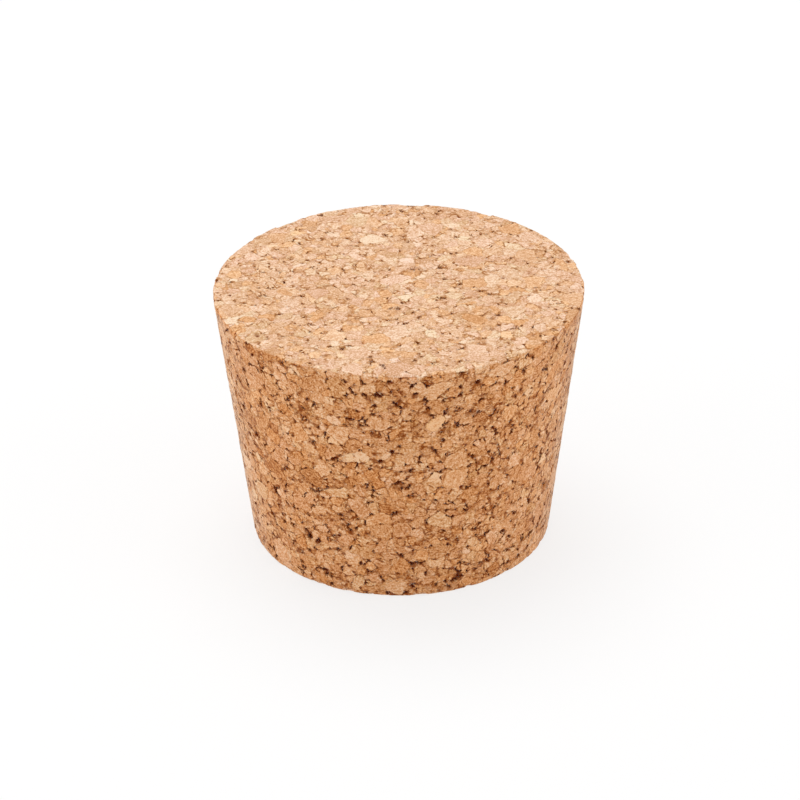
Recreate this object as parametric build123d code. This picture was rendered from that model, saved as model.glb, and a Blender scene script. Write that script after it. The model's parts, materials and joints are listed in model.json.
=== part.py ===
from build123d import *

import os
from math import atan2, cos, pi, sin, sqrt
from random import Random

# Tapered stopper of agglomerated cork: granules pressed and glued into one block, ground to a plain
# taper and cut square at both ends. Millimetres, +Z up, origin at the centre of the small end.

# Ground body
TOP_DIAMETER = 55.0
BOTTOM_DIAMETER = 45.0
HEIGHT = 40.0
TOP_EDGE_BREAK = 0.25
BOTTOM_EDGE_BREAK = 0.3

# Open pores: the gaps that the ground surface cuts through where granules meet. A pore with two cusps
# is a bent slit along one joint, one with three lies where three joints run together.
PORE_REACH = 0.65
PORE_DEPTH = 0.65
SIDE_PORE_PITCH = 4.9
END_PORE_PITCH = 6.0
PORE_CUSP_COUNTS = (2, 2, 3, 3, 3)
PORE_SIZE_SHARES = (0.6, 1.4)
PORE_CUSP_SHARES = (0.7, 1.3)
SLIT_REACH_SHARE = 1.6
SLIT_WAIST_SHARE = 0.22
CUSP_TURN_SHARE = 0.12
PORE_WANDER_SHARE = 0.4

# Flakes: shallow facets where a whole granule split off a rim. Each has the share of a turn from +X at
# which it lies, then the shares of the depth and of a right angle by which it leans from side to end.
FLAKE_DEPTH = 0.24
TOP_FLAKE_SHARES = (
    (0.354, 1.1, 0.45),
    (0.384, 0.9, 0.60),
    (0.417, 1.5, 0.40),
    (0.449, 0.8, 0.55),
    (0.306, 0.5, 0.50),
    (0.216, 0.3, 0.35),
    (0.112, 0.3, 0.55),
    (0.561, 0.4, 0.40),
    (0.633, 0.3, 0.60),
    (0.702, 0.2, 0.50),
    (0.803, 0.2, 0.40),
    (0.885, 0.3, 0.50),
)
BOTTOM_FLAKE_SHARES = (
    (0.568, 0.6, 0.50),
    (0.690, 0.3, 0.40),
    (0.786, 0.2, 0.50),
    (0.898, 0.5, 0.45),
    (0.960, 0.4, 0.60),
    (0.105, 0.3, 0.40),
    (0.290, 0.5, 0.55),
    (0.432, 0.3, 0.50),
)

# Nicks: small pointed breaks in a rim. Each has its share of a turn, then of the reach and the depth.
NICK_REACH = 0.8
NICK_DEPTH = 0.6
NICK_OUTLINE_SHARES = ((-1.0, 0.1), (-0.4, 0.9), (0.5, 0.8), (1.0, -0.2), (0.3, -0.9), (-0.6, -0.8))
TOP_NICK_SHARES = (
    (0.162, 0.7, 0.8),
    (0.338, 1.0, 1.0),
    (0.401, 1.2, 1.0),
    (0.598, 0.9, 0.9),
    (0.738, 0.8, 0.7),
    (0.846, 0.9, 0.8),
    (0.953, 0.7, 0.8),
)
BOTTOM_NICK_SHARES = (
    (0.822, 1.1, 1.3),
    (0.606, 0.8, 0.9),
    (0.717, 0.9, 0.9),
    (0.874, 0.7, 0.8),
    (0.056, 0.8, 0.9),
    (0.212, 1.0, 0.9),
    (0.391, 0.8, 1.0),
)

# How far a cutter stands out of the surface that it cuts
OVERRUN = 0.4
SEED = 7

TOP_RADIUS = TOP_DIAMETER / 2
BOTTOM_RADIUS = BOTTOM_DIAMETER / 2
FLARE = TOP_RADIUS - BOTTOM_RADIUS
SLOPE_LENGTH = sqrt(HEIGHT**2 + FLARE**2)
SLOPE = atan2(FLARE, HEIGHT)
GOLDEN_TURN = pi * (3 - sqrt(5))
UP = Vector(0, 0, 1)


def ground_body():
    """The plain taper, turned from its half section, with both arrises just taken off."""
    half_section = Polyline(
        (0, 0), (BOTTOM_RADIUS, 0), (TOP_RADIUS, HEIGHT), (0, HEIGHT), close=True
    )
    body = revolve(Plane.XZ * make_face(half_section), Axis.Z)
    top_rim = body.edges().filter_by(GeomType.CIRCLE).sort_by(Axis.Z)[-1]
    body = chamfer(top_rim, TOP_EDGE_BREAK)
    bottom_rim = body.edges().filter_by(GeomType.CIRCLE).sort_by(Axis.Z)[0]
    return chamfer(bottom_rim, BOTTOM_EDGE_BREAK)


def around(radius, turn, height):
    """Point at a radius, an angle round the axis and a height."""
    return Vector(radius * cos(turn), radius * sin(turn), height)


def outward(turn):
    """Direction square to the tapered side."""
    return around(cos(SLOPE), turn, -sin(SLOPE))


def side_plane(along, turn):
    """Plane on the tapered side, a distance up the slope and an angle round it, facing outwards."""
    origin = around(BOTTOM_RADIUS + along * sin(SLOPE), turn, along * cos(SLOPE))
    return Plane(origin, x_dir=around(1, turn + pi / 2, 0), z_dir=outward(turn))


def end_plane(radius, turn, height, facing):
    """Plane on one of the two cut ends."""
    return Plane(around(radius, turn, height), x_dir=around(1, turn, 0), z_dir=facing)


def rim_plane(radius, turn, height, facing, lean_share):
    """Plane on a rim, leaning from the side towards the end that meets it there."""
    lean = lean_share * pi / 2
    normal = outward(turn) * cos(lean) + facing * sin(lean)
    return Plane(around(radius, turn, height), x_dir=around(1, turn + pi / 2, 0), z_dir=normal)


def pocket(plane, outline, depth):
    """Pointed cutter: its mouth stands OVERRUN clear of the plane, its tip lies depth below it."""
    spread = (depth + OVERRUN) / depth
    mouth = [Vector(x * spread, y * spread, OVERRUN) for x, y in outline]
    tip = Vector(0, 0, -depth)
    walls = [
        make_face(Polyline(corner, following, tip, close=True))
        for corner, following in zip(mouth, mouth[1:] + mouth[:1])
    ]
    lid = make_face(Polyline(*mouth, close=True))
    return plane * Solid(Shell([lid.face(), *[wall.face() for wall in walls]]))


def pore(plane, chance):
    """Gap between granules, with a cusp along each joint that runs into it and, in a slit, a bent waist."""
    size_share = chance.uniform(*PORE_SIZE_SHARES)
    cusps = chance.choice(PORE_CUSP_COUNTS)
    is_slit = cusps == 2
    reach = PORE_REACH * size_share * (SLIT_REACH_SHARE if is_slit else 1)
    first = chance.uniform(0, 2 * pi)
    outline = []
    for cusp in range(cusps):
        turn = first + 2 * pi * (cusp + chance.uniform(-1, 1) * CUSP_TURN_SHARE) / cusps
        cusp_reach = reach * chance.uniform(*PORE_CUSP_SHARES)
        outline.append((cusp_reach * cos(turn), cusp_reach * sin(turn)))
        if is_slit:
            notch = first + 2 * pi * (cusp + 1 / 2) / cusps
            waist = reach * SLIT_WAIST_SHARE
            outline.append((waist * cos(notch), waist * sin(notch)))
    return pocket(plane, outline, PORE_DEPTH * size_share)


def side_pores(chance):
    """Rows of pores up the taper, each wandering from its place so that no row shows."""
    margin = PORE_REACH + max(TOP_EDGE_BREAK, BOTTOM_EDGE_BREAK)
    rows = max(1, round((SLOPE_LENGTH - 2 * margin) / SIDE_PORE_PITCH))
    row_pitch = (SLOPE_LENGTH - 2 * margin) / rows
    pores = []
    for row in range(rows):
        middle = margin + (row + 1 / 2) * row_pitch
        girth = 2 * pi * (BOTTOM_RADIUS + middle * sin(SLOPE))
        count = max(1, round(girth / SIDE_PORE_PITCH))
        for place in range(count):
            along = middle + chance.uniform(-1, 1) * PORE_WANDER_SHARE * row_pitch
            shift = chance.uniform(-1, 1) * PORE_WANDER_SHARE
            turn = 2 * pi * (place + row / 2 + shift) / count
            pores.append(pore(side_plane(along, turn), chance))
    return pores


def end_pores(chance, end_radius, height, facing):
    """Pores over a cut end, spread as seeds are in a sunflower head, each wandering a little."""
    reach = end_radius - 2 * PORE_REACH
    count = max(1, round(pi * reach**2 / END_PORE_PITCH**2))
    pores = []
    for place in range(count):
        radius = reach * sqrt((place + 1 / 2) / count)
        turn = place * GOLDEN_TURN + chance.uniform(-1, 1) * PORE_WANDER_SHARE
        pores.append(pore(end_plane(radius, turn, height, facing), chance))
    return pores


def rim_flakes(flake_shares, radius, height, facing):
    """Blocks as large as the rim's radius, whose inner faces leave flat facets along it."""
    block = Box(radius, radius, radius, align=(Align.CENTER, Align.CENTER, Align.MIN))
    flakes = []
    for turn_share, depth_share, lean_share in flake_shares:
        plane = rim_plane(radius, 2 * pi * turn_share, height, facing, lean_share)
        flakes.append(plane * Pos(0, 0, -FLAKE_DEPTH * depth_share) * block)
    return flakes


def rim_nicks(nick_shares, radius, height, facing):
    """Pointed breaks along a rim."""
    nicks = []
    for turn_share, reach_share, depth_share in nick_shares:
        reach = NICK_REACH * reach_share
        outline = [(x * reach, y * reach) for x, y in NICK_OUTLINE_SHARES]
        plane = rim_plane(radius, 2 * pi * turn_share, height, facing, 1 / 2)
        nicks.append(pocket(plane, outline, NICK_DEPTH * depth_share))
    return nicks


def cork_stopper():
    """The ground body with its pores cut into it and its rims broken."""
    chance = Random(SEED)
    body = ground_body()
    body -= rim_flakes(TOP_FLAKE_SHARES, TOP_RADIUS, HEIGHT, UP)
    body -= rim_flakes(BOTTOM_FLAKE_SHARES, BOTTOM_RADIUS, 0, -UP)
    gaps = [
        *side_pores(chance),
        *end_pores(chance, TOP_RADIUS, HEIGHT, UP),
        *end_pores(chance, BOTTOM_RADIUS, 0, -UP),
        *rim_nicks(TOP_NICK_SHARES, TOP_RADIUS, HEIGHT, UP),
        *rim_nicks(BOTTOM_NICK_SHARES, BOTTOM_RADIUS, 0, -UP),
    ]
    return body - gaps


os.makedirs("parts", exist_ok=True)
export_step(cork_stopper(), "parts/cork_stopper.step")
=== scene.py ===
import json
import math
from types import SimpleNamespace

import bpy
import numpy as np
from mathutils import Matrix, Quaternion, Vector

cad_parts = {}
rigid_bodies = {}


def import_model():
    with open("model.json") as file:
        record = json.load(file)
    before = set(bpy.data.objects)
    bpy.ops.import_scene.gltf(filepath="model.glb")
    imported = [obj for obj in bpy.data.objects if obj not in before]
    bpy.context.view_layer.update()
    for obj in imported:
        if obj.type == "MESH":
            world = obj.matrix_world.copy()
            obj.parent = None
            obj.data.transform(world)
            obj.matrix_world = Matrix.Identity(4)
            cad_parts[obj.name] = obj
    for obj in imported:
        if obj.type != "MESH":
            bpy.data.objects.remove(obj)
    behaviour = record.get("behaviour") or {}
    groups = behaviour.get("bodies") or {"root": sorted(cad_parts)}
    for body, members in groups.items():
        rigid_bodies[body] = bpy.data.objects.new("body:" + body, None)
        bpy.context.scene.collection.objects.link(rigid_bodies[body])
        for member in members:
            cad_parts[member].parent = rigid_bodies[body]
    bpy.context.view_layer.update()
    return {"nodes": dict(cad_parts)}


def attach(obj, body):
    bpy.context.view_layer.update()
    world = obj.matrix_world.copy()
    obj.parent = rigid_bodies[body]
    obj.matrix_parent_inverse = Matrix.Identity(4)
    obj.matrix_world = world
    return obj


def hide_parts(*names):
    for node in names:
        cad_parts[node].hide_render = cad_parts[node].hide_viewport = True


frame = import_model()

bl_info = {
    "name": "Cork stopper",
    "version": (1, 0, 0),
    "blender": (4, 5, 0),
    "location": "View3D > Sidebar > Cork stopper",
    "description": "Dresses a tapered stopper as ground agglomerated cork and sets its stage",
    "category": "Object",
}

NODE = "cork_stopper"
BODY_NAME = "cork_body"
BAKE_MAP = "OFBake"

# Body: share of the height in which an end's radius is read, and how its mesh is joined and shaded
RIM_BAND_SHARE = 0.02
MERGE_DISTANCE = 1e-6
SMOOTH_ANGLE = math.radians(35.0)

# Map for baking: strips that the side is laid out in, and the room left around each patch
SIDE_STRIPS = 3
PATCH_GAP = 0.002

# Noise, and each random value of a granule, runs from 0 to 1 about this middle
MIDDLE = 0.5

# Open joints. A pair of strains is where an effect begins and where it is full.
GAPE_STRAINS = (0.595, 0.675)
RIFT_STRAINS = (0.70, 0.76)
END_STRAIN_RELIEF = 0.04
CORNER_REACHES = (0.4, 0.85)
CORNER_WIDTH_SHARES = (0.4, 1.0)
CRACK_WALL_SHARES = (0.6, 1.0)
LEAST_CRACK_WIDTH = 1e-6

# Binder: its line in a joint, the stain beside the line and a painted highlight beyond the stain, in shares
# of the seam's width. Strengths are for tight and slack joints, or for the ground side and a cut end.
SLACK_STRAINS = (0.38, 0.64)
BIND_STRENGTHS = (0.12, 0.95)
GLUE_WIDTH_SHARES = (0.6, 1.5)
GLUE_PLACE_SHARES = (1.0, 0.8)
SEAM_EDGE_SHARES = (0.25, 1.0)
STAIN_WIDTH_SHARES = (0.8, 2.4)
STAIN_STRENGTHS = (0.8, 0.5)
EDGE_HIGHLIGHT_WIDTH_SHARES = (2.4, 4.0)

# Chips along the rims
WEAK_STRAINS = (0.54, 0.66)
WEAK_DETAIL = 1.0

# Grain within a granule
GRAIN_TURN = 6.3
GRAIN_STRETCH = (0.4, 0.4, 1.0)
GRAIN_DETAIL = 3.0
GRAIN_ROUGHNESS = 0.6
STREAK_SIZE_SHARE = 0.7
SPECKLE_SIZE_SHARE = 0.6
SPECKLE_DETAIL = 1.0

# Tone of a granule, from 0 for bark to 1 for cream
LEAST_TONE = 0.34
TONE_SPREAD = 0.34
BARK_SHARE = 0.05
BARK_TONE = 0.2
FLAKE_SHARE = 0.05
FLAKE_TONE = 0.9
STREAK_STRENGTH = 1.6
SPECKLE_STRENGTH = 1.6
# Painted highlight: a pale band along a granule's edge, beyond the binder's stain
EDGE_HIGHLIGHT_STRENGTH = 0.2
TONE_STOPS = (0.0, 0.25, 0.5, 0.75, 1.0)

# Tints that are multiplied into a granule's colour, and their shares on the ground side and a cut end
HUE_TINTS = (
    (0.0, (1.0, 0.86, 0.68)),
    (0.3, (1.0, 0.98, 0.97)),
    (0.65, (1.0, 0.97, 1.04)),
    (1.0, (0.98, 1.01, 0.98)),
)
HUE_TINT_SHARES = (0.7, 1.0)
STAIN_TINT = (1.0, 0.92, 0.68, 1.0)

# Depths below the ground surface between which a pore turns dark: painted shade for the deep hollow over its
# dark binder
HOLLOW_SHADE_DEPTHS = (0.0003, 0.0006)

# Dull, slightly downy finish
LEAST_ROUGHNESS = 0.75
ROUGHNESS_SPREAD = 0.2
SHEEN_WEIGHT = 0.7
SHEEN_ROUGHNESS = 0.3
SHEEN_TINT = (1.0, 0.92, 0.8, 1.0)
BUMP_DISTANCE = 0.00015
STREAK_BUMP = 0.6
CRACK_BUMP = 0.4

# Stage. Each soft lamp has its place, the width of its disc and its power, and the floor's glow is for
# where it only lights and where it is seen.
LAMPS = {
    "lamp_over": ((-0.1, 0.25, 0.9), 0.7, 4.0),
    "lamp_left": ((-0.8, -0.25, 0.1), 0.6, 2.8),
    "lamp_right": ((0.8, -0.22, 0.1), 0.6, 2.6),
}
WHITE = (1.0, 1.0, 1.0, 1.0)
FLOOR_COLOUR = (0.9, 0.9, 0.9, 1.0)
FLOOR_ROUGHNESS = 0.9
FLOOR_GLOW_SHARES = (0.35, 0.75)
SENSOR_WIDTH = 36.0


def taper_of(node):
    """Height, end radii and slope of the CAD taper, in metres."""
    points = np.array([vertex.co for vertex in frame["nodes"][node].data.vertices])
    radii = np.hypot(points[:, 0], points[:, 1])
    height = points[:, 2].max()
    rim_band = RIM_BAND_SHARE * height
    bottom = radii[points[:, 2] < rim_band].max()
    top = radii[points[:, 2] > height - rim_band].max()
    slope = math.atan2(top - bottom, height)
    return SimpleNamespace(height=float(height), top=float(top), bottom=float(bottom), slope=slope)


TAPER = taper_of(NODE)


class CorkGranuleProps(bpy.types.PropertyGroup):
    """Sizes of the granules, the joints between them and the ground relief."""

    coarse: bpy.props.FloatProperty(
        name="Coarse granule", description="Width of a whole granule",
        default=0.0029, unit="LENGTH", subtype="DISTANCE")
    medium: bpy.props.FloatProperty(
        name="Medium granule", description="Width of a broken granule",
        default=0.0018, unit="LENGTH", subtype="DISTANCE")
    fine: bpy.props.FloatProperty(
        name="Fine granule", description="Width of the crumbs between granules",
        default=0.00094, unit="LENGTH", subtype="DISTANCE")
    broken_share: bpy.props.FloatProperty(
        name="Broken share", description="Share of coarse granules that are broken",
        default=0.78, subtype="FACTOR")
    crumb_share: bpy.props.FloatProperty(
        name="Crumb share", description="Share of broken granules that are crumbs",
        default=0.28, subtype="FACTOR")
    flatness: bpy.props.FloatProperty(
        name="Flatness", description="How far the press flattened the granules along the axis",
        default=1.12)
    bend_size: bpy.props.FloatProperty(
        name="Bend size", description="Length over which a granule's outline bends",
        default=0.0022, unit="LENGTH", subtype="DISTANCE")
    bend_reach: bpy.props.FloatProperty(
        name="Bend reach", description="How far an outline bends",
        default=0.0016, unit="LENGTH", subtype="DISTANCE")
    ragged_size: bpy.props.FloatProperty(
        name="Ragged size", description="Length of the teeth along a granule's outline",
        default=0.00042, unit="LENGTH", subtype="DISTANCE")
    ragged_reach: bpy.props.FloatProperty(
        name="Ragged reach", description="Height of the teeth along a granule's outline",
        default=0.0006, unit="LENGTH", subtype="DISTANCE")
    seam_width: bpy.props.FloatProperty(
        name="Seam width", description="Half width of the binder line between granules",
        default=0.00014, unit="LENGTH", subtype="DISTANCE")
    side_crack: bpy.props.FloatProperty(
        name="Side crack", description="Half width of an open joint on the ground side",
        default=0.00022, unit="LENGTH", subtype="DISTANCE")
    end_crack: bpy.props.FloatProperty(
        name="End crack", description="Half width of an open joint on a cut end",
        default=0.00015, unit="LENGTH", subtype="DISTANCE")
    gape_size: bpy.props.FloatProperty(
        name="Gape size", description="Length over which a joint opens and closes again",
        default=0.0011, unit="LENGTH", subtype="DISTANCE")
    crack_depth: bpy.props.FloatProperty(
        name="Crack depth", description="Depth of an open joint",
        default=0.00045, unit="LENGTH", subtype="DISTANCE")
    step_depth: bpy.props.FloatProperty(
        name="Step depth", description="Height by which neighbouring granules differ",
        default=0.00007, unit="LENGTH", subtype="DISTANCE")
    grain_depth: bpy.props.FloatProperty(
        name="Grain depth", description="Depth of the fine grain within a granule",
        default=0.00005, unit="LENGTH", subtype="DISTANCE")
    chip_depth: bpy.props.FloatProperty(
        name="Chip depth", description="Most that a granule on a rim is broken back",
        default=0.0006, unit="LENGTH", subtype="DISTANCE")
    chip_reach: bpy.props.FloatProperty(
        name="Chip reach", description="Width of the band along a rim in which granules break",
        default=0.0007, unit="LENGTH", subtype="DISTANCE")
    # Rim shift and rim blend place where the ends' paler lit colours, a painted highlight, take over on a rim
    rim_shift: bpy.props.FloatProperty(
        name="Rim shift", description="How far the cut colour strays over a rim from granule to granule",
        default=0.0004, unit="LENGTH", subtype="DISTANCE")
    rim_blend: bpy.props.FloatProperty(
        name="Rim blend", description="Half width of the change from cut to ground colour on a rim",
        default=0.0001, unit="LENGTH", subtype="DISTANCE")
    voxel: bpy.props.FloatProperty(
        name="Voxel", description="Grid on which the ground body is rebuilt",
        default=0.0002, unit="LENGTH", subtype="DISTANCE", precision=5)
    triangle_limit: bpy.props.IntProperty(
        name="Triangles", description="Most triangles that the finished body keeps",
        default=196000)


class CorkColourProps(bpy.types.PropertyGroup):
    """Colours of the granules, the binder and the open joints (partly painted shade), and the ends' paler lit
    copy (painted highlight).
    """

    bark: bpy.props.FloatVectorProperty(
        name="Bark", description="Darkest granules, from the outer bark",
        default=(0.313, 0.097, 0.023), subtype="COLOR")
    amber: bpy.props.FloatVectorProperty(
        name="Amber", description="Orange brown granules",
        default=(0.538, 0.223, 0.076), subtype="COLOR")
    tan: bpy.props.FloatVectorProperty(
        name="Tan", description="Granules of the common middle tone",
        default=(0.655, 0.320, 0.138), subtype="COLOR")
    pale: bpy.props.FloatVectorProperty(
        name="Pale", description="Pale granules",
        default=(0.752, 0.417, 0.219), subtype="COLOR")
    cream: bpy.props.FloatVectorProperty(
        name="Cream", description="Palest flakes",
        default=(0.840, 0.553, 0.342), subtype="COLOR")
    seam: bpy.props.FloatVectorProperty(
        name="Seam", description="Binder line between granules",
        default=(0.21, 0.040, 0.003), subtype="COLOR")
    # Hollow: the dark inside of joints and pores, partly their dark binder, partly painted shade for their
    # depth
    hollow: bpy.props.FloatVectorProperty(
        name="Hollow", description="Inside of open joints and pores",
        default=(0.17, 0.022, 0.001), subtype="COLOR")
    # The colours for the ends are a paler, less saturated lit copy of the ones above: painted highlight for
    # the lit top, laid on both ends
    lit_end_bark: bpy.props.FloatVectorProperty(
        name="Cut bark", description="Darkest granules on a cut end",
        default=(0.545, 0.283, 0.129), subtype="COLOR")
    lit_end_amber: bpy.props.FloatVectorProperty(
        name="Cut amber", description="Orange granules on a cut end",
        default=(0.645, 0.367, 0.194), subtype="COLOR")
    lit_end_tan: bpy.props.FloatVectorProperty(
        name="Cut tan", description="Granules of the common middle tone on a cut end",
        default=(0.740, 0.462, 0.283), subtype="COLOR")
    lit_end_pale: bpy.props.FloatVectorProperty(
        name="Cut pale", description="Pale granules on a cut end",
        default=(0.842, 0.575, 0.384), subtype="COLOR")
    lit_end_cream: bpy.props.FloatVectorProperty(
        name="Cut cream", description="Palest flakes on a cut end",
        default=(0.905, 0.695, 0.505), subtype="COLOR")
    lit_end_seam: bpy.props.FloatVectorProperty(
        name="Cut seam", description="Binder line between granules on a cut end",
        default=(0.36, 0.120, 0.022), subtype="COLOR")
    lit_end_hollow: bpy.props.FloatVectorProperty(
        name="Cut hollow", description="Inside of open joints and pores on a cut end",
        default=(0.22, 0.045, 0.004), subtype="COLOR")


class CorkStageProps(bpy.types.PropertyGroup):
    """Camera, even light and floor."""

    elevation: bpy.props.FloatProperty(
        name="Elevation", description="Height of the camera above the horizon",
        default=math.radians(29.56), subtype="ANGLE")
    distance: bpy.props.FloatProperty(
        name="Distance", description="From the camera to the middle of the stopper",
        default=0.549, unit="LENGTH", subtype="DISTANCE")
    lens: bpy.props.FloatProperty(
        name="Lens", description="Focal length in millimetres", default=164.5)
    lift: bpy.props.FloatProperty(
        name="Lift", description="How far the camera aims above the middle of the stopper",
        default=0.0007, unit="LENGTH", subtype="DISTANCE")
    roll: bpy.props.FloatProperty(
        name="Roll", description="Turn of the camera about its own line of sight",
        default=math.radians(-0.7), subtype="ANGLE")
    floor: bpy.props.FloatProperty(
        name="Floor", description="Width of the floor",
        default=6.0, unit="LENGTH", subtype="DISTANCE")
    sky: bpy.props.FloatProperty(
        name="Sky", description="Strength of the even light all round", default=0.66)


class NodeSketch:
    """Adds nodes to a shader or geometry tree and joins them."""

    def __init__(self, tree):
        self.tree = tree

    def add(self, kind, feeds=None, **settings):
        node = self.tree.nodes.new(kind)
        for name, value in settings.items():
            setattr(node, name, value)
        for socket, value in (feeds or {}).items():
            self.feed(node.inputs[socket], value)
        return node

    def feed(self, socket, value):
        if isinstance(value, bpy.types.NodeSocket):
            self.tree.links.new(value, socket)
        else:
            socket.default_value = value

    def math(self, operation, first, second=0.0, third=0.0):
        feeds = {0: first, 1: second, 2: third}
        return self.add("ShaderNodeMath", feeds, operation=operation).outputs[0]

    def vector(self, operation, first, second=(0.0, 0.0, 0.0)):
        return self.add("ShaderNodeVectorMath", {0: first, 1: second}, operation=operation).outputs[0]

    def scaled(self, first, factor):
        return self.add("ShaderNodeVectorMath", {0: first, "Scale": factor}, operation="SCALE").outputs[0]

    def length(self, first):
        return self.add("ShaderNodeVectorMath", {0: first}, operation="LENGTH").outputs["Value"]

    def split(self, first):
        return self.add("ShaderNodeSeparateXYZ", {0: first}).outputs

    def smooth(self, value, low, high):
        """0 below low and 1 above high, with a soft step between them."""
        feeds = {"Value": value, "From Min": low, "From Max": high}
        return self.add("ShaderNodeMapRange", feeds, interpolation_type="SMOOTHSTEP").outputs[0]

    def fade(self, value, low, high):
        """1 below low and 0 above high, with a soft step between them."""
        return self.math("SUBTRACT", 1.0, self.smooth(value, low, high))

    # A Mix node has sockets for every kind of value: numbers from 2, vectors from 4, colours from 6
    def mix(self, share, first, second):
        feeds = {0: share, 2: first, 3: second}
        return self.add("ShaderNodeMix", feeds, data_type="FLOAT").outputs[0]

    def mix_vector(self, share, first, second):
        feeds = {0: share, 4: first, 5: second}
        return self.add("ShaderNodeMix", feeds, data_type="VECTOR").outputs[1]

    def mix_colour(self, share, first, second, blend="MIX"):
        feeds = {0: share, 6: first, 7: second}
        return self.add("ShaderNodeMix", feeds, data_type="RGBA", blend_type=blend).outputs[2]

    def noise(self, place, size, detail=2.0, roughness=0.5):
        feeds = {"Vector": place, "Scale": 1 / size, "Detail": detail, "Roughness": roughness}
        return self.add("ShaderNodeTexNoise", feeds)

    def cells(self, place, size, feature):
        feeds = {"Vector": place, "Scale": 1 / size}
        return self.add("ShaderNodeTexVoronoi", feeds, feature=feature)

    def wander(self, place, size, reach):
        """Offset that drifts by up to half of reach over about size."""
        drift = self.vector("SUBTRACT", self.noise(place, size).outputs["Color"], (MIDDLE, MIDDLE, MIDDLE))
        return self.vector("MULTIPLY", drift, (reach, reach, reach))

    def ramp(self, value, stops):
        node = self.add("ShaderNodeValToRGB", {0: value})
        elements = node.color_ramp.elements
        while len(elements) < len(stops):
            elements.new(1.0)
        for element, (position, colour) in zip(elements, stops):
            element.position = position
            element.color = (*colour, 1.0)
        return node.outputs["Color"]


def ground_depths(sketch, place):
    """How deep a point lies under the ground side and a cut end, and the ground surface right above it."""
    up = sketch.split(place)[2]
    spoke = sketch.vector("MULTIPLY", place, (1.0, 1.0, 0.0))
    limit = sketch.math("MULTIPLY_ADD", up, math.tan(TAPER.slope), TAPER.bottom)
    gap = sketch.math("SUBTRACT", limit, sketch.length(spoke))
    lean = math.cos(TAPER.slope)
    side = sketch.math("MULTIPLY", gap, lean)
    below_top = sketch.math("SUBTRACT", TAPER.height, up)
    end = sketch.math("MINIMUM", up, below_top)

    outward = sketch.vector("MULTIPLY", sketch.vector("NORMALIZE", spoke), (lean, lean, 0.0))
    outward = sketch.vector("SUBTRACT", outward, (0.0, 0.0, math.sin(TAPER.slope)))
    nearer_top = sketch.math("LESS_THAN", below_top, up)
    endward = sketch.mix_vector(nearer_top, (0.0, 0.0, -1.0), (0.0, 0.0, 1.0))
    nearer_end = sketch.math("LESS_THAN", end, side)
    above = sketch.mix_vector(
        nearer_end, sketch.scaled(outward, side), sketch.scaled(endward, end))
    return side, end, sketch.vector("ADD", place, above)


def pressed_granules(sketch, flat, props):
    """The granule at a point: its own random values, how far off its middle is, and the joints round it."""
    bent = sketch.vector("ADD", flat, sketch.wander(flat, props.bend_size, props.bend_reach))
    outline = sketch.vector("ADD", bent, sketch.wander(flat, props.ragged_size, props.ragged_reach))
    lots, joints, reaches = [], [], []
    for size in (props.coarse, props.medium, props.fine):
        cell = sketch.cells(outline, size, "F1")
        edge = sketch.cells(outline, size, "DISTANCE_TO_EDGE")
        lots.append(cell.outputs["Color"])
        reaches.append(cell.outputs["Distance"])
        joints.append(sketch.math("MULTIPLY", edge.outputs["Distance"], size))
    broken = sketch.math("LESS_THAN", sketch.split(lots[0])[0], props.broken_share)
    crumbs = sketch.math("LESS_THAN", sketch.split(lots[1])[0], props.crumb_share)
    crumbs = sketch.math("MULTIPLY", crumbs, broken)

    lot = sketch.mix_vector(crumbs, sketch.mix_vector(broken, lots[0], lots[1]), lots[2])
    reach = sketch.mix(crumbs, sketch.mix(broken, reaches[0], reaches[1]), reaches[2])
    wide_joint = sketch.math("MINIMUM", joints[0], sketch.mix(broken, props.coarse, joints[1]))
    joint = sketch.math("MINIMUM", wide_joint, sketch.mix(crumbs, props.coarse, joints[2]))
    return SimpleNamespace(lot=lot, reach=reach, wide_joint=wide_joint, joint=joint)


def open_crack(sketch, flat, granule, ends, strain, props):
    """1 inside an open joint and 0 outside it. Joints gape most at the corners of granules."""
    gape = sketch.smooth(strain, *GAPE_STRAINS)
    rift = sketch.smooth(sketch.noise(flat, props.coarse).outputs[0], *RIFT_STRAINS)
    corner = sketch.mix(sketch.smooth(granule.reach, *CORNER_REACHES), *CORNER_WIDTH_SHARES)
    opening = sketch.math("MULTIPLY", corner, sketch.math("ADD", gape, rift))
    width = sketch.math("MULTIPLY", sketch.mix(ends, props.side_crack, props.end_crack), opening)
    near = sketch.math("DIVIDE", granule.wide_joint, sketch.math("MAXIMUM", width, LEAST_CRACK_WIDTH))
    return sketch.fade(near, *CRACK_WALL_SHARES)


def binder_marks(sketch, joint, ends, strain, props):
    """How strongly the binder's line, its stain and the painted highlight beyond the stain show."""
    def widths(shares):
        return [share * props.seam_width for share in shares]

    slack = sketch.smooth(strain, *SLACK_STRAINS)
    bind = sketch.mix(slack, *BIND_STRENGTHS)
    glue = sketch.mix(slack, *widths(GLUE_WIDTH_SHARES))
    glue = sketch.math("MULTIPLY", glue, sketch.mix(ends, *GLUE_PLACE_SHARES))
    seam = sketch.fade(sketch.math("DIVIDE", joint, glue), *SEAM_EDGE_SHARES)
    seam = sketch.math("MULTIPLY", seam, bind)
    stain = sketch.fade(joint, *widths(STAIN_WIDTH_SHARES))
    stain = sketch.math("MULTIPLY", stain, sketch.math("MULTIPLY", bind, sketch.mix(ends, *STAIN_STRENGTHS)))
    # Painted highlight along the granule's edge, beyond the stain
    edge_highlight = sketch.fade(joint, *widths(EDGE_HIGHLIGHT_WIDTH_SHARES))
    edge_highlight = sketch.math("MULTIPLY", sketch.math("SUBTRACT", edge_highlight, stain), bind)
    return seam, stain, edge_highlight


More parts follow.
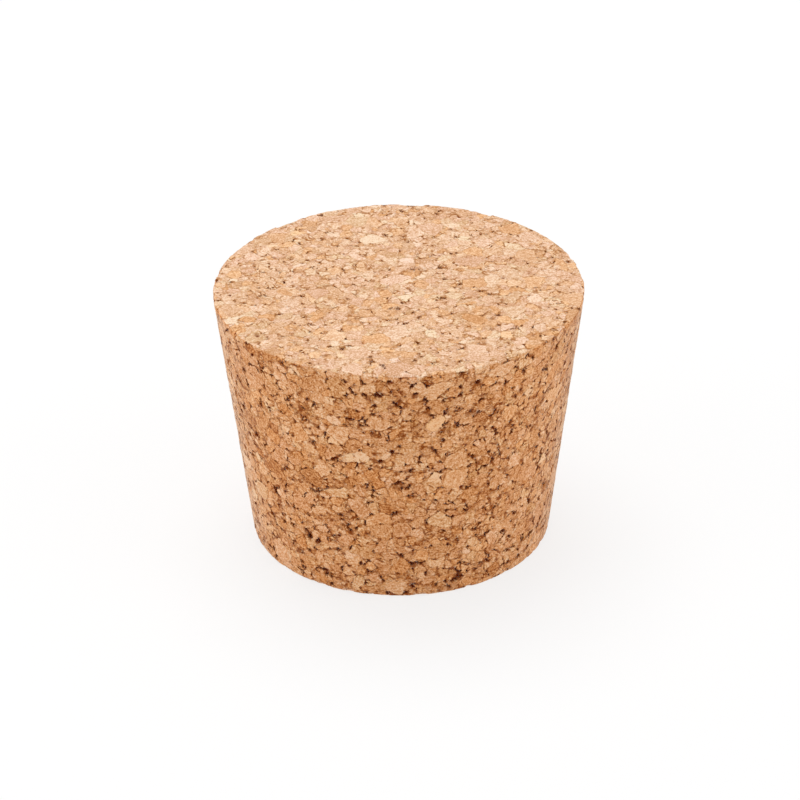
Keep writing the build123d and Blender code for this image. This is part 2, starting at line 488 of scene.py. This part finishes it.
def rim_chip(sketch, flat, side_depth, end_depth, props):
    """How deep a weak granule on a rim is broken back."""
    arris = sketch.fade(sketch.math("MAXIMUM", side_depth, end_depth), 0.0, props.chip_reach)
    weak = sketch.smooth(sketch.noise(flat, props.coarse, WEAK_DETAIL).outputs[0], *WEAK_STRAINS)
    return sketch.math("MULTIPLY", sketch.math("MULTIPLY", weak, arris), props.chip_depth)


def granule_field(sketch, place, props):
    """What the relief and the colours share at a point of the pressed granules."""
    side_depth, end_depth, surface = ground_depths(sketch, place)
    flat = sketch.vector("MULTIPLY", surface, (1.0, 1.0, props.flatness))
    granule = pressed_granules(sketch, flat, props)

    # The ends mask places the ends' paler lit colours (painted highlight) as well as their thinner cracks and
    # fainter stains
    stray = sketch.math("SUBTRACT", sketch.split(granule.lot)[1], MIDDLE)
    shift = sketch.math("MULTIPLY", stray, props.rim_shift)
    inset = sketch.math("ADD", sketch.math("SUBTRACT", side_depth, end_depth), shift)
    ends = sketch.smooth(inset, -props.rim_blend, props.rim_blend)

    strain = sketch.noise(flat, props.gape_size).outputs[0]
    strain = sketch.math("SUBTRACT", strain, sketch.math("MULTIPLY", ends, END_STRAIN_RELIEF))
    crack = open_crack(sketch, flat, granule, ends, strain, props)
    seam, stain, edge_highlight = binder_marks(sketch, granule.joint, ends, strain, props)
    chip = rim_chip(sketch, flat, side_depth, end_depth, props)
    chance = sketch.add("ShaderNodeTexWhiteNoise", {"Vector": granule.lot}, noise_dimensions="3D")
    return SimpleNamespace(
        flat=flat, lot=granule.lot, chance=chance.outputs["Color"], ends=ends,
        crack=crack, seam=seam, stain=stain, edge_highlight=edge_highlight,
        sunk=sketch.math("MINIMUM", side_depth, end_depth),
        open_depth=sketch.math("MULTIPLY_ADD", crack, props.crack_depth, chip))


def grain(sketch, field, size):
    """Fine cell structure of a granule, running its own way in each."""
    angle = sketch.math("MULTIPLY", sketch.split(field.lot)[1], GRAIN_TURN)
    feeds = {"Vector": field.flat, "Axis": field.lot, "Angle": angle}
    turned = sketch.add("ShaderNodeVectorRotate", feeds, rotation_type="AXIS_ANGLE").outputs[0]
    drawn = sketch.vector("MULTIPLY", turned, GRAIN_STRETCH)
    return sketch.noise(drawn, size, GRAIN_DETAIL, GRAIN_ROUGHNESS).outputs[0]


def relief_tree(props):
    """Geometry nodes that sink open joints, rim chips, grain and low granules below the ground surface."""
    tree = bpy.data.node_groups.new("cork_relief", "GeometryNodeTree")
    tree.interface.new_socket("Geometry", in_out="INPUT", socket_type="NodeSocketGeometry")
    tree.interface.new_socket("Geometry", in_out="OUTPUT", socket_type="NodeSocketGeometry")
    sketch = NodeSketch(tree)
    source = sketch.add("NodeGroupInput")
    result = sketch.add("NodeGroupOutput")
    place = sketch.add("GeometryNodeInputPosition").outputs[0]
    normal = sketch.add("GeometryNodeInputNormal").outputs[0]
    field = granule_field(sketch, place, props)

    step = sketch.math("MULTIPLY", sketch.split(field.lot)[2], props.step_depth)
    fine = sketch.math("MULTIPLY", grain(sketch, field, props.ragged_size), props.grain_depth)
    depth = sketch.math("ADD", sketch.math("ADD", step, fine), field.open_depth)
    inward = sketch.scaled(normal, sketch.math("MULTIPLY", depth, -1.0))
    moved = sketch.add("GeometryNodeSetPosition", {"Geometry": source.outputs[0], "Offset": inward})
    tree.links.new(moved.outputs[0], result.inputs[0])
    return tree


def granule_tone(sketch, field, streaks, props):
    """Tone of a granule: mostly middling, with a few of bark and a few pale flakes, streaked and speckled,
    and raised by a painted highlight near its edge.
    """
    shade, _, kind = sketch.split(field.chance)
    speckle = sketch.noise(field.flat, SPECKLE_SIZE_SHARE * props.ragged_size, SPECKLE_DETAIL).outputs[0]
    tone = sketch.math("MULTIPLY_ADD", shade, TONE_SPREAD, LEAST_TONE)
    tone = sketch.mix(sketch.math("LESS_THAN", kind, BARK_SHARE), tone, BARK_TONE)
    tone = sketch.mix(sketch.math("GREATER_THAN", kind, 1.0 - FLAKE_SHARE), tone, FLAKE_TONE)
    for layer, strength in ((streaks, STREAK_STRENGTH), (speckle, SPECKLE_STRENGTH)):
        swing = sketch.math("MULTIPLY", sketch.math("SUBTRACT", layer, MIDDLE), strength)
        tone = sketch.math("ADD", tone, swing)
    return sketch.math("MULTIPLY_ADD", field.edge_highlight, EDGE_HIGHLIGHT_STRENGTH, tone)


def cork_colour(sketch, field, tone, colours):
    """Granules in their tones and tints, with binder seams and dark open joints and pores, their dark partly
    painted shade. The ends take a paler lit copy of the colours, a painted highlight.
    """
    ground_colours = (colours.bark, colours.amber, colours.tan, colours.pale, colours.cream)
    # Ends: a paler lit copy of the colours, painted highlight for the lit top, laid on both ends
    lit_end_colours = (
        colours.lit_end_bark, colours.lit_end_amber, colours.lit_end_tan, colours.lit_end_pale, colours.lit_end_cream)
    ground = sketch.ramp(tone, tuple(zip(TONE_STOPS, ground_colours)))
    cut = sketch.ramp(tone, tuple(zip(TONE_STOPS, lit_end_colours)))
    tint = sketch.ramp(sketch.split(field.chance)[1], HUE_TINTS)
    granule = sketch.mix_colour(field.ends, ground, cut)
    granule = sketch.mix_colour(sketch.mix(field.ends, *HUE_TINT_SHARES), granule, tint, "MULTIPLY")
    granule = sketch.mix_colour(field.stain, granule, STAIN_TINT, "MULTIPLY")

    binder = sketch.mix_colour(field.ends, (*colours.seam, 1.0), (*colours.lit_end_seam, 1.0))
    seamed = sketch.mix_colour(field.seam, granule, binder)
    # Open joints, and pores deeper than the given depths, take the hollow colour: their own dark, partly
    # painted shade
    below_joint = sketch.math("SUBTRACT", field.sunk, field.open_depth)
    dark = sketch.math("MAXIMUM", field.crack, sketch.smooth(below_joint, *HOLLOW_SHADE_DEPTHS))
    inside = sketch.mix_colour(field.ends, (*colours.hollow, 1.0), (*colours.lit_end_hollow, 1.0))
    return sketch.mix_colour(dark, seamed, inside)


def cork_material(props, colours):
    """Ground agglomerated cork, dull and slightly downy."""
    material = bpy.data.materials.new("ground_cork")
    material.use_nodes = True
    tree = material.node_tree
    sketch = NodeSketch(tree)
    sockets = tree.nodes["Principled BSDF"].inputs
    place = sketch.add("ShaderNodeTexCoord").outputs["Object"]
    field = granule_field(sketch, place, props)
    streaks = grain(sketch, field, STREAK_SIZE_SHARE * props.ragged_size)
    tone = granule_tone(sketch, field, streaks, props)
    sketch.feed(sockets["Base Color"], cork_colour(sketch, field, tone, colours))

    rough = sketch.math("ADD", sketch.math("MULTIPLY", streaks, ROUGHNESS_SPREAD), LEAST_ROUGHNESS)
    sketch.feed(sockets["Roughness"], rough)
    sockets["Specular IOR Level"].default_value = 0.0
    sockets["Sheen Weight"].default_value = SHEEN_WEIGHT
    sockets["Sheen Roughness"].default_value = SHEEN_ROUGHNESS
    sockets["Sheen Tint"].default_value = SHEEN_TINT

    raised = sketch.math("MULTIPLY", streaks, STREAK_BUMP)
    height = sketch.math("SUBTRACT", raised, sketch.math("MULTIPLY", field.crack, CRACK_BUMP))
    bump = sketch.add("ShaderNodeBump", {"Strength": 1.0, "Distance": BUMP_DISTANCE, "Height": height})
    sketch.feed(sockets["Normal"], bump.outputs[0])
    return material


def apply_modifier(piece, name):
    with bpy.context.temp_override(object=piece, active_object=piece, selected_objects=[piece]):
        bpy.ops.object.modifier_apply(modifier=name)


def lone_active(piece):
    bpy.ops.object.select_all(action="DESELECT")
    piece.select_set(True)
    bpy.context.view_layer.objects.active = piece


def merged_copy(node, name):
    """A copy of a CAD node's mesh, with its loose triangles joined."""
    piece = bpy.data.objects.new(name, frame["nodes"][node].data.copy())
    bpy.context.scene.collection.objects.link(piece)
    piece.data.materials.clear()
    lone_active(piece)
    bpy.ops.object.mode_set(mode="EDIT")
    bpy.ops.mesh.select_all(action="SELECT")
    bpy.ops.mesh.remove_doubles(threshold=MERGE_DISTANCE)
    bpy.ops.object.mode_set(mode="OBJECT")
    return piece


def drop_crumbs(piece):
    """Deletes what isn't joined to the vertex that stands farthest from the axis."""
    lone_active(piece)
    bpy.ops.object.mode_set(mode="EDIT")
    bpy.ops.mesh.select_all(action="DESELECT")
    bpy.ops.object.mode_set(mode="OBJECT")
    outermost = max(piece.data.vertices, key=lambda vertex: vertex.co.xy.length)
    outermost.select = True
    bpy.ops.object.mode_set(mode="EDIT")
    bpy.ops.mesh.select_linked()
    bpy.ops.mesh.select_all(action="INVERT")
    bpy.ops.mesh.delete(type="VERT")
    bpy.ops.object.mode_set(mode="OBJECT")


def read_all(items, field, kind):
    """One number of every item of a mesh, as an array."""
    values = np.empty(len(items), kind)
    items.foreach_get(field, values)
    return values


def read_points(items, field):
    """One point of every item of a mesh, as rows of an array."""
    values = np.empty(len(items) * 3, np.float32)
    items.foreach_get(field, values)
    return values.reshape(-1, 3)


def lay_bake_map(piece):
    """A plain map for baking: the side in strips, and the two ends as discs."""
    mesh = piece.data
    points = read_points(mesh.vertices, "co")[read_all(mesh.loops, "vertex_index", np.int32)]
    face_corners = read_all(mesh.polygons, "loop_total", np.int32)
    centre = np.repeat(read_points(mesh.polygons, "center"), face_corners, axis=0)

    limit = TAPER.bottom + centre[:, 2] * math.tan(TAPER.slope)
    side_depth = (limit - np.hypot(centre[:, 0], centre[:, 1])) * math.cos(TAPER.slope)
    bottom_depth = centre[:, 2]
    top_depth = TAPER.height - bottom_depth
    on_top = (top_depth < side_depth) & (top_depth < bottom_depth)
    on_bottom = (bottom_depth < side_depth) & ~on_top

    strip_turn = math.tau / SIDE_STRIPS
    centre_turn = np.arctan2(centre[:, 1], centre[:, 0]) % math.tau
    strip = np.floor(centre_turn / strip_turn)
    turn = np.arctan2(points[:, 1], points[:, 0])
    turn = centre_turn + (turn - centre_turn + math.pi) % math.tau - math.pi
    strip_pitch = TAPER.height + 2 * PATCH_GAP
    u = PATCH_GAP + (turn - strip * strip_turn) * TAPER.top
    v = PATCH_GAP + strip * strip_pitch + points[:, 2]

    disc_middle = strip_turn * TAPER.top + 3 * PATCH_GAP + TAPER.top
    u[on_top] = disc_middle + points[on_top, 0]
    v[on_top] = PATCH_GAP + TAPER.top + points[on_top, 1]
    u[on_bottom] = disc_middle + points[on_bottom, 0]
    v[on_bottom] = 3 * PATCH_GAP + 2 * TAPER.top + TAPER.bottom - points[on_bottom, 1]
    sheet = max(disc_middle + TAPER.top + PATCH_GAP, SIDE_STRIPS * strip_pitch)
    layer = mesh.uv_layers.new(name=BAKE_MAP)
    layer.data.foreach_set("uv", (np.column_stack([u, v]) / sheet).astype(np.float32).ravel())


class CORK_OT_body(bpy.types.Operator):
    """Rebuild the CAD solid as ground agglomerated cork"""

    bl_idname = "cork_stopper.body"
    bl_label = "Cork Body"

    def execute(self, context):
        props = context.scene.cork_granules
        piece = merged_copy(NODE, BODY_NAME)
        remesh = piece.modifiers.new("rebuild", "REMESH")
        remesh.mode = "VOXEL"
        remesh.voxel_size = props.voxel
        apply_modifier(piece, "rebuild")
        relief = piece.modifiers.new("relief", "NODES")
        relief.node_group = relief_tree(props)
        apply_modifier(piece, "relief")
        triangles = sum(len(face.vertices) - 2 for face in piece.data.polygons)
        thin = piece.modifiers.new("thin", "DECIMATE")
        thin.ratio = min(1.0, props.triangle_limit / triangles)
        apply_modifier(piece, "thin")
        drop_crumbs(piece)
        bpy.ops.object.shade_smooth_by_angle(angle=SMOOTH_ANGLE)
        lay_bake_map(piece)
        piece.data.materials.append(cork_material(props, context.scene.cork_colours))
        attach(piece, "root")
        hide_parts(NODE)
        return {"FINISHED"}


def soft_lamp(name, place, aim, size, power):
    bpy.ops.object.light_add(type="AREA", location=place)
    lamp = bpy.context.object
    lamp.name = name
    lamp.rotation_euler = (aim - Vector(place)).to_track_quat("-Z", "Y").to_euler()
    lamp.data.shape = "DISK"
    lamp.data.size = size
    lamp.data.energy = power


def seen_directly(sketch):
    """1 where a ray comes from the camera, a reflection or through glass, and 0 where it only lights."""
    path = sketch.add("ShaderNodeLightPath").outputs
    mirrored = sketch.math("MAXIMUM", path["Is Glossy Ray"], path["Is Transmission Ray"])
    return sketch.math("MAXIMUM", path["Is Camera Ray"], mirrored)


def floor_material():
    """White floor that glows a little, so that it looks white and still keeps the shadow."""
    material = bpy.data.materials.new("white_floor")
    material.use_nodes = True
    tree = material.node_tree
    sketch = NodeSketch(tree)
    shader = tree.nodes["Principled BSDF"]
    shader.inputs["Base Color"].default_value = FLOOR_COLOUR
    shader.inputs["Roughness"].default_value = FLOOR_ROUGHNESS
    shader.inputs["Specular IOR Level"].default_value = 0.0
    glow = sketch.add("ShaderNodeEmission", {"Strength": 1.0})
    share = sketch.mix(seen_directly(sketch), *FLOOR_GLOW_SHARES)
    both = sketch.add("ShaderNodeMixShader", {0: share, 1: shader.outputs[0], 2: glow.outputs[0]})
    sketch.feed(tree.nodes["Material Output"].inputs["Surface"], both.outputs[0])
    return material


def white_world(sky_strength):
    """Even light all round that is seen as plain white."""
    world = bpy.data.worlds.new("white_room")
    world.use_nodes = True
    sketch = NodeSketch(world.node_tree)
    sky = world.node_tree.nodes["Background"]
    sky.inputs["Color"].default_value = WHITE
    sketch.feed(sky.inputs["Strength"], sketch.mix(seen_directly(sketch), sky_strength, 1.0))
    return world


class CORK_OT_stage(bpy.types.Operator):
    """Set the floor, the soft lamps and the camera"""

    bl_idname = "cork_stopper.stage"
    bl_label = "Stage"

    def execute(self, context):
        props = context.scene.cork_stage
        scene = context.scene
        scene.view_settings.view_transform = "Standard"
        scene.world = white_world(props.sky)
        middle = Vector((0.0, 0.0, TAPER.height / 2))

        bpy.ops.mesh.primitive_plane_add(size=props.floor, location=(0.0, 0.0, 0.0))
        floor = context.object
        floor.name = "floor"
        floor.data.materials.append(floor_material())

        for name, (place, size, power) in LAMPS.items():
            soft_lamp(name, place, middle, size, power)

        back = Vector((0.0, -math.cos(props.elevation), math.sin(props.elevation)))
        place = middle + back * props.distance
        aim = middle + Vector((0.0, 0.0, props.lift))
        turn = (aim - place).to_track_quat("-Z", "Y") @ Quaternion((0.0, 0.0, 1.0), props.roll)
        bpy.ops.object.camera_add(location=place, rotation=turn.to_euler())
        camera = context.object
        camera.data.lens = props.lens
        camera.data.sensor_width = SENSOR_WIDTH
        scene.camera = camera
        return {"FINISHED"}


class CORK_PT_panel(bpy.types.Panel):
    """Sizes, colours and stage of the cork stopper"""

    bl_idname = "CORK_PT_panel"
    bl_label = "Cork stopper"
    bl_space_type = "VIEW_3D"
    bl_region_type = "UI"
    bl_category = "Cork stopper"

    def draw(self, context):
        layout = self.layout
        for group in (context.scene.cork_granules, context.scene.cork_colours, context.scene.cork_stage):
            box = layout.box()
            for name in group.__annotations__:
                box.prop(group, name)
        layout.operator(CORK_OT_body.bl_idname)
        layout.operator(CORK_OT_stage.bl_idname)


PROP_GROUPS = {
    "cork_granules": CorkGranuleProps,
    "cork_colours": CorkColourProps,
    "cork_stage": CorkStageProps,
}
CLASSES = (*PROP_GROUPS.values(), CORK_OT_body, CORK_OT_stage, CORK_PT_panel)


def register():
    for cls in CLASSES:
        bpy.utils.register_class(cls)
    for name, group in PROP_GROUPS.items():
        setattr(bpy.types.Scene, name, bpy.props.PointerProperty(type=group))


def unregister():
    for name in PROP_GROUPS:
        delattr(bpy.types.Scene, name)
    for cls in reversed(CLASSES):
        bpy.utils.unregister_class(cls)


def main():
    register()
    bpy.ops.cork_stopper.body()
    bpy.ops.cork_stopper.stage()


if __name__ == "__main__":
    main()
